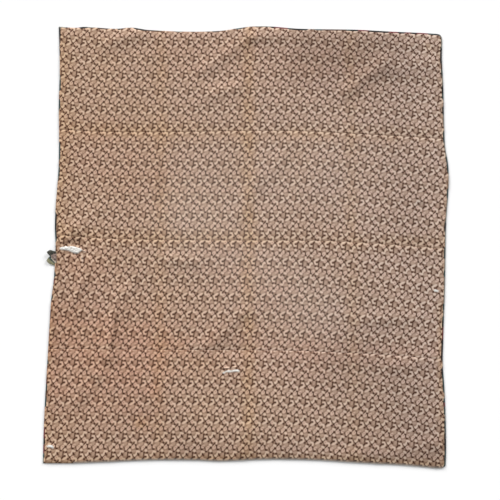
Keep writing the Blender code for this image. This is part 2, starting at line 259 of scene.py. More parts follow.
# Ovals of one repeat, by tone: x, y, half length, half width, turn in degrees
REPEAT_CHART = {
    "muted": (
        (-33, 11, 11, 6, 75), (7, 25, 11, 6, 10), (-11, -27, 10, 7.5, 60), (-36, 60, 10, 7.5, 20),
    ),
    "pink": (
        (-56, -9, 10.5, 10, 0), (-49.5, -42, 13.5, 8.4, 56), (-26, -39.5, 10.5, 6.4, 48),
        (-3.5, -48, 14, 7.8, 58),
    ),
    "bright": (
        (-11, 8, 8, 3.8, 8), (-5, 0, 10, 3.8, 108), (-14, -13, 13.5, 5, 30), (-42, -12.5, 8, 4.8, -10),
        (-38, -21, 9.5, 4.2, 78), (10, -32, 8.5, 6, -22), (-12.5, 29, 7, 6.5, 0), (11, 5, 8.5, 6, 25),
        (19, 14, 9, 4.2, 70), (28, 24, 10, 5.4, -14),
    ),
    "dot": (
        (-56, -8, 2.2, 2, 0), (-48, -40, 2.2, 2, 0), (-2, -45, 2.2, 2, 0), (-26, -39, 2, 1.8, 0),
    ),
    "dark": (
        (-14.5, -1, 5.5, 3.4, 20), (-25.5, -7, 10, 3.1, 50), (-23, 9, 11, 1.7, 88),
        (-11, 43.5, 5.4, 4.4, 0), (-51, -28, 10.5, 2.6, 50), (-40, -34, 5.2, 4, -30),
        (-38.5, -44, 8, 1.9, -78), (-32.5, -53.5, 6.3, 3.9, -10), (-34, 24.5, 5.6, 3.6, -20),
        (-20.5, 36, 11, 1.6, 48), (-7, 18, 6, 3.6, 20), (-20.5, 18.5, 4.6, 3.2, 0),
        (8, -3, 20, 1.3, -56), (10, -7, 5.2, 3.6, -45), (16.5, -22.5, 5, 3.5, -40),
        (1, -15, 4.8, 3.8, -30), (12, -6, 14, 1.3, 40), (28.5, 10, 8.2, 3.8, -58),
        (-17, -49, 10, 1.4, -65),
    ),
}

AGE_ACROSS = 1900.0     # the back yellows from right to left over this
# What the marks of age, with the painted shade and painted highlights among them, bring to a colour, and how
# it is mixed in
AGEING = (
    ("warm", (0.98, 0.89, 0.70, 1), "MULTIPLY"),
    ("ruddy", (0.99, 0.88, 0.85, 1), "MULTIPLY"),
    ("cool", (0.89, 0.98, 1.04, 1), "MULTIPLY"),
    ("soil_and_shade", (0.55, 0.50, 0.47, 1), "MULTIPLY"),
    ("faded_and_highlight", (0.78, 0.71, 0.64, 1), "MIX"),
)
# Where the marks are: start x, start y, end x, end y, reach, strength
WARM_STAINS = (
    (-443, 1090, -443, -1070, 34, 0.30), (-3, 1100, -3, -1070, 34, 0.60),
    (517, 1085, 517, -1080, 34, 0.30), (-950, 570, 985, 535, 36, 0.40), (-960, 28, 985, -10, 36, 0.45),
    (-950, 1000, -950, 100, 60, 0.35), (-530, -893, -520, -893, 26, 0.8),
    (960, -330, 955, -1090, 26, 0.55), (-300, -1070, 950, -1095, 22, 0.45),
    (-330, -480, -100, -900, 170, 0.22), (-640, 900, -500, 500, 150, 0.15),
    (100, -800, 700, -1000, 170, 0.12), (916, 998, 920, 990, 22, 0.5),
)
RUDDY_STAINS = (
    (-1000, -430, -560, -520, 180, 0.85), (-560, -520, 300, -560, 140, 0.40),
    (300, -560, 960, -560, 60, 0.30), (-1000, -700, -560, -780, 170, 0.60),
    (-940, -80, -760, -140, 120, 0.40), (-100, -90, 120, -250, 130, 0.30),
    (-800, 480, -520, 330, 170, 0.30), (-350, 1000, 420, 900, 160, 0.25),
)
COOL_SPOTS = (
    (857, 197, 860, 197, 16, 0.9),
)
# Painted shade and soil: the narrow rows paint shade along the troughs of creases, the seams, the fold above
# the first tear and the slot beside its curl; the broad rows darken wide areas of the cloth
SOIL_AND_PAINTED_SHADE = (
    (-950, 570, 985, 535, 14, 0.09), (-960, 28, 985, -10, 14, 0.08), (-918, -3, -880, 8, 7, 0.8),
    (-880, 7, -845, 2, 9, 0.9), (-852, 10, -836, 22, 5, 0.8), (-822, -66, -820, -96, 3, 1.2),
    (-838, -46, -824, -57, 2.5, 0.8), (-646, -300, -656, -400, 8, 0.70),
    (-656, -400, -676, -525, 8, 1.00), (-813, -225, -872, -345, 15, 0.48),
    (-542, -183, -564, -268, 10, 0.42), (-223, -523, -67, -332, 9, 0.30),
    (-769, -671, -832, -757, 11, 0.46), (-455, 390, -450, 200, 9, 0.35),
    (-580, -640, -576, -668, 5, 0.5), (600, 1000, 800, 60, 190, 0.12),
    (-970, -60, -960, -560, 60, 0.25), (560, -600, 960, -1000, 260, 0.30),
    (300, 950, 680, 960, 150, 0.35), (-950, -900, -400, -1000, 220, 0.12),
    (-300, -1050, 900, -1060, 120, 0.25),
)
PALE_AREAS = (
    (-250, 330, 400, 330, 240, 0.3),
    (-300, 120, 300, -330, 180, 0.5),
)
# Painted highlights: pale lines along the raised curls beside the first tear
CURL_HIGHLIGHTS = (
    (-836, -38, -816, -50, 2.6, 0.30),
    (-832, -62, -827, -100, 2.8, 0.22),
)

# The flaps of the torn scrap, each between two rails: points (x, y, z) from the quilt's edge
# outwards
FLAPS = {
    "olive": (
        ((-963, -106, 2.6), (-975, -100, 2.0), (-988, -88, 2.6), (-999, -77, 3.2)),
        ((-965, -118, 1.4), (-984, -113, 2.4), (-1000, -105, 4.2), (-1009, -94, 5.0)),
    ),
    "teal": (
        ((-960, -90, 3.0), (-969, -85, 3.0), (-978, -78, 3.4), (-989, -67, 4.0)),
        ((-966, -108, 3.4), (-978, -101, 3.2), (-987, -93, 3.8), (-999, -80, 4.6)),
    ),
    "cord": (
        ((-954, -92, 3.8), (-961, -86, 4.0), (-969, -78, 4.4), (-977, -69, 4.8)),
        ((-961, -108, 4.0), (-969, -101, 4.4), (-977, -93, 4.8), (-986, -81, 5.2)),
    ),
    "pink": (
        ((-960, -50, 5.0), (-970, -52, 5.4), (-978, -56, 5.8), (-987, -62, 6.2)),
        ((-958, -103, 5.2), (-966, -96, 5.8), (-974, -88, 6.2), (-986, -76, 6.6)),
    ),
    "black": (
        ((-960, -49, 6.4), (-975, -45, 7.0), (-992, -41, 7.6), (-1008, -51, 8.4)),
        ((-961, -56, 6.8), (-975, -58, 7.2), (-989, -71, 7.4), (-1005, -57, 8.2)),
    ),
}
FLAP_SPACING = 1.5
FLAP_FRAY = (1.6, 1.2)
FLAP_FRAY_REACH = 4.0
FLAP_RUMPLE = 0.9
FLAP_CROWN = 0.72
FLAP_SPOTS = {"olive": 0.3, "teal": 0.5, "cord": 0.2, "pink": 0.8, "black": 0.95}


def curve_at(table, t):
    """Smooth curve through the (station, value) rows of a table, held level past its ends."""
    rows = np.array(sorted(table), float)
    stations, values = rows.T
    last = len(rows) - 1
    order = np.arange(last + 1)
    before, after = np.maximum(order - 1, 0), np.minimum(order + 1, last)
    slopes = (values[after] - values[before]) / (stations[after] - stations[before])
    t = np.clip(np.asarray(t, float), stations[0], stations[-1])
    k = np.clip(np.searchsorted(stations, t, side="right") - 1, 0, last - 1)
    span = stations[k + 1] - stations[k]
    f = (t - stations[k]) / span
    rise_a, rise_b = slopes[k] * span, slopes[k + 1] * span
    return ((2 * f**3 - 3 * f**2 + 1) * values[k] + (f**3 - 2 * f**2 + f) * rise_a
            + (3 * f**2 - 2 * f**3) * values[k + 1] + (f**3 - f**2) * rise_b)


def left_x(y):
    return curve_at(LEFT_EDGE, y)


def right_x(y):
    return curve_at(RIGHT_EDGE, y)


def distance_to_segment(x, y, x0, y0, x1, y1):
    dx, dy = x1 - x0, y1 - y0
    along = np.clip(((x - x0) * dx + (y - y0) * dy) / (dx * dx + dy * dy), 0, 1)
    return np.hypot(x - x0 - along * dx, y - y0 - along * dy)


def hump(distance, reach):
    return np.exp(-(distance / reach) ** 2)


def edge_distances(x, y):
    """How far inside the left, right, top and bottom edges a point lies."""
    return x - left_x(y), right_x(y) - x, curve_at(TOP_EDGE, x) - y, y - curve_at(BOTTOM_EDGE, x)


def body_height(x, y):
    """Upper side of the filled body: its edges, seams, old folds and creases."""
    inside = np.min(edge_distances(x, y), axis=0)
    fullness = 1 - np.exp(-np.maximum(inside, 0) / EDGE_ROUNDING)
    relief = np.zeros_like(x)
    for seam in SEAMS:
        relief -= SEAM_SINK * hump(y - curve_at(seam, x), SEAM_REACH)
    for fold in OLD_FOLDS:
        relief -= OLD_FOLD_SINK * hump(x - fold, OLD_FOLD_REACH)
    for x0, y0, x1, y1, height, reach in CREASES:
        relief += height * hump(distance_to_segment(x, y, x0, y0, x1, y1), reach)
    return BODY_EDGE + (BODY_MIDDLE - BODY_EDGE + relief) * fullness


def field(x, y, wavelength, seed):
    """Smooth uneven values, about -1 to 1, that change over a wavelength."""
    return np.array([
        noise.noise(Vector((a / wavelength, b / wavelength, seed))) for a, b in zip(x, y)
    ])


def marked(x, y, rows):
    """How strongly a table of soft marks covers each point."""
    total = np.zeros_like(x)
    for x0, y0, x1, y1, reach, strength in rows:
        total += strength * hump(distance_to_segment(x, y, x0, y0, x1, y1), reach)
    return total


def letter_at(stretches, station):
    """The cloth of the rim's stretch that a station lies in."""
    rising = stretches[0][0] < stretches[-1][0]
    found = stretches[0][1]
    for start, letter in stretches:
        passed = station >= start if rising else station <= start
        if passed:
            found = letter
    return found


def rim_width(stretches, stations):
    """How far the face shows beyond the back along an edge, changing softly between stretches."""
    sampled = np.arange(-RIM_REACH, RIM_REACH + 1, RIM_STEP)
    shows = np.array([RIM_SHOWS[letter_at(stretches, s)] for s in sampled])
    around = 6
    weights = hump(RIM_STEP * np.arange(-around, around + 1), RIM_SOFTENING)
    shows = np.convolve(np.pad(shows, around, mode="edge"), weights / weights.sum(), mode="valid")
    return np.interp(stations, sampled, shows)


def settled(u, row_y, left_at, right_at):
    """The x and y of shares u across, on rows whose height changes along them."""
    left, right = np.full_like(u, ABOUT_LEFT), np.full_like(u, ABOUT_RIGHT)
    for _ in range(SEARCH_ROUNDS):
        left, right = left_at(row_y(left)), right_at(row_y(right))
    x = left + (right - left) * u
    return x, row_y(x)


def place_on_width(number, u, v):
    """Where a share u across and v down one width of the back lies: x, y."""
    upper, lower = LINES[number - 1], LINES[number]

    def row_y(x):
        high = curve_at(upper, x)
        if number == 1:
            high = high - rim_width(RIM_TOP, x)
        return high * (1 - v) + curve_at(lower, x) * v

    return settled(
        u, row_y,
        lambda y: left_x(y) + rim_width(RIM_LEFT, y),
        lambda y: right_x(y) - rim_width(RIM_RIGHT, y))


def place_on_face(u, v):
    """Where a share across and down the whole body lies: x, y."""
    bands = len(LINES) - 1
    band = np.clip((v * bands).astype(int), 0, bands - 1)
    share = v * bands - band
    order = np.arange(len(v))

    def row_y(x):
        heights = np.array([curve_at(line, x) for line in LINES])
        return heights[band, order] * (1 - share) + heights[band + 1, order] * share

    return settled(u, row_y, left_x, right_x)


def stops_along(length, spacing, close):
    """Distances of a grid's lines along a side: close ones at both ends, even ones between."""
    first, last = close[-1], length - close[-1]
    count = round((last - first) / spacing)
    middle = first + (last - first) * np.arange(1, count) / count
    return np.concatenate([close, middle, length - np.array(close)[::-1]])


def unit_grid(across, down):
    """A flat grid from 0 to 1 each way, with its lines at the given distances."""
    bm = bmesh.new()
    bmesh.ops.create_grid(bm, x_segments=len(across) - 1, y_segments=len(down) - 1, size=0.5)
    columns, rows = np.arange(len(across)), np.arange(len(down))
    for vert in bm.verts:
        column = (vert.co.x + 0.5) * columns[-1]
        row = (0.5 - vert.co.y) * rows[-1]
        vert.co.x = np.interp(column, columns, across) / across[-1]
        vert.co.y = np.interp(row, rows, down) / down[-1]
    return bm


def flat_places(bm):
    bm.verts.ensure_lookup_table()
    co = np.array([v.co[:2] for v in bm.verts])
    return co[:, 0], co[:, 1]


def put(bm, x, y, z):
    for vert, a, b, c in zip(bm.verts, x, y, z):
        vert.co = (a * MM, b * MM, c * MM)


def distance_outside(x, y, outline):
    """Distance to an outline, negative inside it."""
    nearest = np.full_like(x, 1e9)
    crossings = np.zeros(len(x), int)
    for (x0, y0), (x1, y1) in zip(outline, outline[1:] + outline[:1]):
        nearest = np.minimum(nearest, distance_to_segment(x, y, x0, y0, x1, y1))
        if y0 != y1:
            spans = (y0 > y) != (y1 > y)
            crossings += spans & (x < x0 + (y - y0) * (x1 - x0) / (y1 - y0))
    return np.where(crossings % 2 == 1, -nearest, nearest)


def finished(bm, name, materials):
    """The bmesh as an object of the scene, smooth, at the origin."""
    mesh = bpy.data.meshes.new(name)
    bm.to_mesh(mesh)
    bm.free()
    mesh.shade_smooth()
    for material in materials:
        mesh.materials.append(material)
    obj = bpy.data.objects.new(name, mesh)
    bpy.context.scene.collection.objects.link(obj)
    return obj


def add_attribute(mesh, name, values):
    mesh.attributes.new(name, "FLOAT", "POINT").data.foreach_set("value", values.astype(np.float32))


def add_map(mesh, name, u, v):
    """A UV map from values at the vertices."""
    corners = np.empty(len(mesh.loops), np.int32)
    mesh.loops.foreach_get("vertex_index", corners)
    pairs = np.stack([u[corners], v[corners]], 1).astype(np.float32)
    mesh.uv_layers.new(name=name).data.foreach_set("uv", pairs.ravel())


def thicken(obj, thickness):
    """Gives a sheet its thickness downwards, from the face that shows."""
    modifier = obj.modifiers.new("cloth", "SOLIDIFY")
    modifier.thickness = thickness
    modifier.offset = -1.0


class Value:
    """A number that changes over a surface. Python's arithmetic on it adds Math nodes."""

    def __init__(self, look, socket):
        self.look = look
        self.socket = socket

    def maths(self, operation, *values):
        return Value(self.look, self.look.node("ShaderNodeMath", {"operation": operation}, values).outputs[0])

    def __add__(self, other):
        return self.maths("ADD", self, other)

    def __sub__(self, other):
        return self.maths("SUBTRACT", self, other)

    def __rsub__(self, other):
        return self.maths("SUBTRACT", other, self)

    def __mul__(self, other):
        return self.maths("MULTIPLY", self, other)

    def larger(self, other):
        return self.maths("MAXIMUM", self, other)

    def step(self, low, high):
        """0 below low and 1 above high, smooth between them; falls if low is above high."""
        settings = {"interpolation_type": "SMOOTHSTEP"}
        made = self.look.node("ShaderNodeMapRange", settings, (self, low, high, 0.0, 1.0))
        return Value(self.look, made.outputs[0])

    __radd__ = __add__
    __rmul__ = __mul__


class Look:
    """A material and the nodes that make it."""

    def __init__(self, name, roughness, sheen=0.0):
        self.material = bpy.data.materials.new(name)
        self.material.use_nodes = True
        self.tree = self.material.node_tree
        self.shader = self.tree.nodes["Principled BSDF"]
        self.shader.inputs["Roughness"].default_value = roughness
        self.shader.inputs["Sheen Weight"].default_value = sheen
        self.shader.inputs["Specular IOR Level"].default_value = 0.2

    def node(self, kind, settings=None, values=()):
        """A node of a kind: its settings first, then its sockets by place or by name."""
        made = self.tree.nodes.new(kind)
        for key, value in (settings or {}).items():
            setattr(made, key, value)
        sockets = values.items() if isinstance(values, dict) else enumerate(values)
        for key, value in sockets:
            self.feed(made.inputs[key], value)
        return made

    def feed(self, socket, value):
        source = value.socket if isinstance(value, Value) else value
        if isinstance(source, bpy.types.NodeSocket):
            self.tree.links.new(source, socket)
        else:
            socket.default_value = source

    def vector(self, operation, *values):
        return self.node("ShaderNodeVectorMath", {"operation": operation}, values).outputs[0]

    def scaled(self, colour, factor):
        """A colour times a number that changes over the surface."""
        values = {0: colour, "Scale": factor}
        return self.node("ShaderNodeVectorMath", {"operation": "SCALE"}, values).outputs[0]

    def dot(self, a, b):
        made = self.node("ShaderNodeVectorMath", {"operation": "DOT_PRODUCT"}, (a, b))
        return Value(self, made.outputs["Value"])

    def blend(self, a, b, factor, way="MIX"):
        settings = {"data_type": "RGBA", "blend_type": way}
        return self.node("ShaderNodeMix", settings, {0: factor, 6: a, 7: b}).outputs[2]

    def attribute(self, name):
        return Value(self, self.node("ShaderNodeAttribute", {"attribute_name": name}).outputs["Fac"])

    def colours(self, name):
        return self.node("ShaderNodeAttribute", {"attribute_name": name}).outputs["Color"]

    def place(self):
        return self.node("ShaderNodeTexCoord").outputs["Object"]

    def noise(self, vector, scale, detail=2.0, stretch=(1, 1, 1)):
        """Noise around 0.5 that changes over 1 / scale metres."""
        moved = self.vector("MULTIPLY", vector, stretch)
        made = self.node("ShaderNodeTexNoise", {}, {"Vector": moved, "Scale": scale, "Detail": detail})
        return Value(self, made.outputs["Fac"])

    def weave(self, place, scale, stretch):
        """Threads that run both ways."""
        down = self.noise(place, scale, 1.0, (1, stretch, 1))
        return down + self.noise(place, scale, 1.0, (stretch, 1, 1))

    def bump(self, height, distance, strength=1.0, normal=None):
        values = {"Height": height, "Distance": distance, "Strength": strength}
        if normal is not None:
            values["Normal"] = normal
        return self.node("ShaderNodeBump", {}, values).outputs[0]

    def finish(self, colour, normal=None):
        self.feed(self.shader.inputs["Base Color"], colour)
        if normal is not None:
            self.feed(self.shader.inputs["Normal"], normal)
        return self.material


def shade(red, green, blue):
    """A colour given as the 0 to 255 steps that the eye reads, as linear light."""
    steps = [c / 255 for c in (red, green, blue)]
    return tuple(s / 12.92 if s <= 0.04045 else ((s + 0.055) / 1.055) ** 2.4 for s in steps)


def colour_value(name, description, default):
    return bpy.props.FloatVectorProperty(
        name=name, description=description, default=default, subtype="COLOR", size=3, min=0, max=1)


def number_value(name, description, default, **settings):
    return bpy.props.FloatProperty(name=name, description=description, default=default, **settings)


def length_value(name, description, default):
    return number_value(name, description, default, unit="LENGTH", min=0, precision=5)


def angle_value(name, description, degrees):
    return number_value(name, description, math.radians(degrees), subtype="ANGLE")


class BackCloth(bpy.types.PropertyGroup):
    """The printed cotton of the back"""

    ground: colour_value("Ground", "Brown between the printed leaves", shade(147, 120, 105))
    bright: colour_value("Bright petals", "Palest petals and hooked leaves", shade(206, 183, 168))
    pink: colour_value("Pink petals", "Round petals", shade(198, 171, 157))
    muted: colour_value("Muted leaves", "Worn grey-brown leaves", shade(173, 147, 131))
    dot: colour_value("Petal dots", "Small dots in the petals", shade(150, 118, 104))
    dark: colour_value("Stems", "Dark stems, dots and commas", shade(66, 34, 18))
    thickness: length_value("Thickness", "Thickness of the cotton", 0.0007)
    spacing: length_value("Spacing", "Spacing of the cloth's grid", 0.0065)


class FaceCloth(bpy.types.PropertyGroup):
    """The pieced face and its rim"""

    black: colour_value("Black", "Black patches", shade(22, 20, 20))
    teal: colour_value("Teal", "Dark teal patches", shade(40, 58, 58))
    brown: colour_value("Brown", "Dark brown patches", shade(66, 46, 36))
    wine: colour_value("Burgundy", "Burgundy patches", shade(98, 42, 46))
    grey: colour_value("Grey", "Faded grey patches", shade(112, 112, 104))
    patch: length_value("Patch", "Side of a patch of the face", 0.062)
    spacing: length_value("Spacing", "Spacing of the face's grid", 0.0103)


class Filling(bpy.types.PropertyGroup):
    """The white cotton filling that shows in the tears"""

    colour: colour_value("Filling", "Loose cotton", shade(232, 229, 224))
    strand: length_value("Strand", "Thickness of a loose strand", 0.0004)


class Scrap(bpy.types.PropertyGroup):
    """The torn scrap of the face"""

    olive: colour_value("Olive", "Lower flap", shade(128, 126, 98))
    pink: colour_value("Faded pink", "Middle flap", shade(138, 118, 110))
    black: colour_value("Black", "Upper flap", shade(64, 64, 55))
    teal: colour_value("Teal", "Strip between the flaps", shade(78, 92, 88))
    cord: colour_value("Pale fold", "Pale strip under the middle flap", shade(205, 190, 170))
    thickness: length_value("Thickness", "Thickness of a flap", 0.0007)


class Studio(bpy.types.PropertyGroup):
    """Camera, light and floor"""

    tilt: angle_value("Tilt", "The camera's lean away from straight down", 5.45)
    distance: length_value("Distance", "From the camera to the quilt", 4.5)
    aim: bpy.props.FloatVectorProperty(
        name="Aim", description="Point of the quilt in the middle of the view",
        default=(0.0065, -0.040, 0.0), subtype="TRANSLATION", size=3)
    lens: number_value("Lens", "Focal length in millimetres", 64.8)
    sky: number_value("Sky", "Strength of the light from all round", 0.38)
    key: number_value("Key", "Strength of the light from the upper left", 5.0)
    second: number_value("Second", "Strength of the light from the upper right", 3.5)
    key_height: angle_value("Key height", "Height of the two lights above the floor", 15.5)
    spread: angle_value("Spread", "How far to each side of the top edge the two lights stand", 42)
    key_softness: angle_value("Key softness", "Width of the two lights as seen from the quilt", 21)
    floor: colour_value("Floor", "Plain pale floor", (0.92, 0.92, 0.92))


# How the printed back is made

def repeat_vector(look):
    """Place in the repeat, from the print's UV map, with one half as its third value."""
    uv = look.node("ShaderNodeUVMap", {"uv_map": "print"}).outputs[0]
    return look.vector("ADD", uv, (0.0, 0.0, 0.5))


def oval(look, place, x, y, half_length, half_width, turn):
    """How much of a soft oval of the repeat covers each point."""
    row = -y / ROW_STEP
    column = (x - row * SLANT) / REPEAT
    moved = look.vector("ADD", place, (0.5 - column, 0.5 - row, 0.0))
    share = look.vector("FRACTION", moved)
    cos, sin = math.cos(math.radians(turn)), math.sin(math.radians(turn))
    squares = []
    for dx, dy, half in ((cos, sin, half_length), (-sin, cos, half_width)):
        per_column = REPEAT * dx / half
        per_row = (SLANT * dx - ROW_STEP * dy) / half
        along = look.dot(share, (per_column, per_row, -(per_column + per_row)))
        squares.append(along * along)
    blur = EDGE_BLUR / min(half_length, half_width)
    return (squares[0] + squares[1]).step((1 + blur) ** 2, max(1 - blur, 0.05) ** 2)


def printed_colour(look, cloth):
    """The print: petals and leaves on the ground, with stems and dots over them."""
    place = repeat_vector(look)
    masks = {}
    for tone, ovals in REPEAT_CHART.items():
        for row in ovals:
            mask = oval(look, place, *row)
            masks[tone] = masks[tone].larger(mask) if tone in masks else mask
    colour = (*cloth.ground, 1)
    for tone, mask in masks.items():
        colour = look.blend(colour, (*getattr(cloth, tone), 1), mask)
    return colour


def aged(look, colour):
    """Yellowed, faded and soiled cloth, with painted shade and painted highlights, from the marks on its
    vertices.
    """
    for mark, tint, way in AGEING:
        colour = look.blend(colour, tint, look.attribute(mark), way)
    return colour


def back_material(cloth):
    look = Look("printed_cotton", 0.9, 0.08)
    colour = aged(look, printed_colour(look, cloth))
    place = look.place()
    blotches = look.noise(place, 24.0, 3.0)
    speckle = look.noise(place, 330.0, 1.0)
    colour = look.scaled(colour, blotches * 0.30 + speckle * 0.24 + 0.735)
    weave = look.weave(place, 260.0, 5)
    crumple = look.noise(place, 42.0, 3.0)
    fine = look.bump(weave, 0.00025, 0.6)
    return look.finish(colour, look.bump(crumple, 0.0012, 0.7, fine))


def cloth_relief(number, x, y, from_upper, from_lower, from_side):
    """Height of the back's upper side, with its puckers, turned edges and curls."""
    z = body_height(x, y) + CLOTH_TOP
    for seed, (height, wavelength) in enumerate(WAVES):
        z += height * field(x, y, wavelength, seed * 7.3)
    wave = np.sin(2 * math.pi * x / PUCKER_LENGTH + 3 * field(x, y, 50, 3.1))
    sewn = np.where((from_upper < from_lower) & (number == 1), TOP_PUCKERS, 1.0)
    nearest = np.minimum(from_upper, from_lower)
    z += PUCKER * wave * sewn * hump(nearest - PUCKER_FROM_SEAM, PUCKER_REACH)
    for distance, is_seam in ((from_upper, number > 1), (from_lower, number < len(LINES) - 1)):
        if is_seam:
            z -= SEAM_TUCK * hump(distance, SEAM_TUCK_REACH)
    z -= EDGE_TURN * hump(from_side, EDGE_TURN_REACH)
    if number == 1:
        z -= EDGE_TURN * hump(from_upper, EDGE_TURN_REACH)
    return z + marked(x, y, CURLS)


def marks_of_age(x, y):
    """Warm, cool, soiled and faded shares of the cloth at each point, with painted shade in its creases and
    seams and painted highlights on its curls.
    """
    left, right, _, bottom = edge_distances(x, y)
    edge = np.min((left, right, bottom), axis=0)
    drift = np.clip(-x / AGE_ACROSS, -0.5, 0.5)
    uneven = 0.12 * field(x, y, 170, 11.0) + 0.07 * field(x, y, 60, 12.0)
    warm = 0.38 + 0.46 * drift + uneven + 0.40 * hump(edge, 24)
    for row in WARM_STAINS:
        wander = 0.75 + 0.6 * field(x, y, 90, row[0] * 0.013)
        warm += wander * marked(x, y, [row])
    cool = np.clip(0.5 - drift * 1.1, 0, 1) * 0.45 + marked(x, y, COOL_SPOTS)
    # Painted shade along the crease troughs, the seams, the fold above the first tear and the slot beside its
    # curl, with broad darker areas and an uneven darkening all over
    soil_and_shade = marked(x, y, SOIL_AND_PAINTED_SHADE) + 0.10 * field(x, y, 240, 15.0) + 0.06
    # Broad paler areas, with painted highlights along the curls beside the first tear
    faded_and_highlight = 0.10 * marked(x, y, PALE_AREAS) + marked(x, y, CURL_HIGHLIGHTS)
    ruddy = marked(x, y, RUDDY_STAINS) * (1 + 0.8 * field(x, y, 70, 16.0))
    marks = {"warm": warm, "cool": cool, "soil_and_shade": soil_and_shade, "faded_and_highlight": faded_and_highlight, "ruddy": ruddy}
    return {name: np.clip(values, 0, 1) for name, values in marks.items()}


def thirds(share):
    """Weights of values at 0, 1/2 and 1 for a smooth curve through all three."""
    return 2 * (share - 0.5) * (share - 1), 4 * share * (1 - share), 2 * share * (share - 0.5)


def print_place(number, x, y):
    """The print's UV: repeats across and rows down from one of its repeats."""
    start = PRINT_STARTS[number - 1]
    seam = SEAMS[start["seam"]]
    above = y - curve_at(seam, x)
    if number in (2, 3):
        other = SEAMS[0] if number == 2 else SEAMS[2]
        height = curve_at(other, x) - curve_at(seam, x)
        middle = float(curve_at(other, 0) - curve_at(seam, 0))
        above = above * middle / height
    down = (curve_at(LINES[number - 1], x) - y) / WIDTH_HEIGHT
    stops = (-SWAY_REACH, 0, SWAY_REACH)
    weights = thirds(down)
    sway = sum(weight * np.interp(x, stops, row) for weight, row in zip(weights, start["sway"]))
    droop = sum(weight * drop for weight, drop in zip(weights, start["droop"]))
    droop = droop * np.clip(x / SWAY_REACH, 0, 1)
    stations, repeats = np.array(REPEATS_ACROSS).T
    row = (start["above"] - above - droop) / start["row"]
    column = np.interp(x - sway, stations, repeats) - np.interp(start["x"], stations, repeats)
    column -= row * SLANT / REPEAT
    if start["turned"]:
        return -column, -row
    return column, row


def open_tears(bm, number):
    """Closes up the grid round each tear of a width, and takes the torn cloth out."""
    for width_number, _, margin, outline in TEARS:
        if width_number != number:
            continue
        outlines = np.array(outline, float)
        low, high = outlines.min(0) - margin, outlines.max(0) + margin
        x, y = place_on_width(number, *flat_places(bm))
        near = (x > low[0]) & (x < high[0]) & (y > low[1]) & (y < high[1])
        faces = [f for f in bm.faces if any(near[v.index] for v in f.verts)]
        edges = {e for f in faces for e in f.edges}
        bmesh.ops.subdivide_edges(bm, edges=list(edges), cuts=TEAR_CUTS, use_grid_fill=True)
        bm.verts.index_update()
        x, y = place_on_width(number, *flat_places(bm))
        outside = distance_outside(x, y, outline) + FRAY * field(x, y, FRAY_LENGTH, number)
        torn = [f for f in bm.faces if max(outside[v.index] for v in f.verts) < TORN_MARGIN]
        bmesh.ops.delete(bm, geom=torn, context="FACES")
    bm.verts.index_update()


def make_width(number, cloth, material):
    """One width of the back: printed cotton on the body, turned in at its edges."""
    spacing = cloth.spacing / MM
    height = float(curve_at(LINES[number - 1], 0) - curve_at(LINES[number], 0))
    bm = unit_grid(
        stops_along(BACK_ACROSS, spacing, BACK_CLOSE_LINES),
        stops_along(height, spacing, BACK_CLOSE_LINES))
    open_tears(bm, number)
    u, v = flat_places(bm)
    x, y = place_on_width(number, u, v)
    from_upper, from_lower = v * height, (1 - v) * height
    from_side = np.minimum(u, 1 - u) * BACK_ACROSS
    z = cloth_relief(number, x, y, from_upper, from_lower, from_side)
    worn = np.zeros_like(x)
    for width_number, _, _, outline in TEARS:
        if width_number == number:
            outside = np.maximum(distance_outside(x, y, outline), 0)
            lift = np.maximum(0.55 + 0.9 * field(x, y, 14, 5.5), 0)
            z += TORN_LIFT * lift * hump(outside, TORN_REACH)
            worn = np.maximum(worn, TORN_PALE * hump(outside, TORN_PALE_REACH))
    if number == len(LINES) - 1:
        worn += HEM_PALE * hump(from_lower, HEM_PALE_REACH) * (x > HEM_PALE_FROM)
        y, z = fold_hem(y, z, from_lower)
    put(bm, x, y, z)
    obj = finished(bm, f"printed_back_{number}", [material])
    marks = marks_of_age(x, y)
    marks["faded_and_highlight"] = np.clip(marks["faded_and_highlight"] + worn, 0, 1)
    for name, values in marks.items():
        add_attribute(obj.data, name, values)
    add_map(obj.data, "print", *print_place(number, x, y))
    thicken(obj, cloth.thickness)
    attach(obj, BODY)
    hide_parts(f"back_width_{number}")
    return obj


def fold_hem(y, z, from_lower):
    """Carries the lower edge of the last width down over the edge of the body."""
    share = np.clip(1 - from_lower / HEM_BEND, 0, 1)
    fall = np.clip((share - HEM_OVER) / (1 - HEM_OVER), 0, 1) ** 1.5
    return y - HEM_REACH * np.sin(share * math.pi / 2), z * (1 - fall) + HEM_LOW * fall


# How the pieced face is made

def face_letter(x, y, side):
    """The cloth of a patch: the rim's own near an edge, and any of them elsewhere."""
    left, right, top, _ = edge_distances(x, y)
    near = ((left, RIM_LEFT, y), (right, RIM_RIGHT, y), (top, RIM_TOP, x))
    distance, stretches, station = min(near, key=lambda item: item[0])
    if distance < FACE_BORDER:
        letter = letter_at(stretches, station)
        if letter != "-":
            return letter
    return PATCH_ORDER[(math.floor(x / side) * 7 + math.floor(y / side) * 13) % len(PATCH_ORDER)]


def face_material():
    look = Look("pieced_face", 0.92, 0.15)
    place = look.place()
    speckle = look.noise(place, 420.0, 2.0) * 0.5 + look.noise(place, 30.0, 2.0) * 0.5 + 0.5
    colour = look.scaled(look.colours("patch"), speckle)
    return look.finish(colour, look.bump(look.weave(place, 300.0, 4), 0.0003, 0.7))


def filling_material(filling):
    look = Look("white_filling", 0.95, 0.2)
    place = look.place()
    clumps = look.noise(place, 260.0, 4.0)
    colour = look.blend((*filling.colour, 1), (0.55, 0.51, 0.46, 1), clumps.step(0.62, 0.86))
    return look.finish(colour, look.bump(clumps, 0.0012, 0.8))


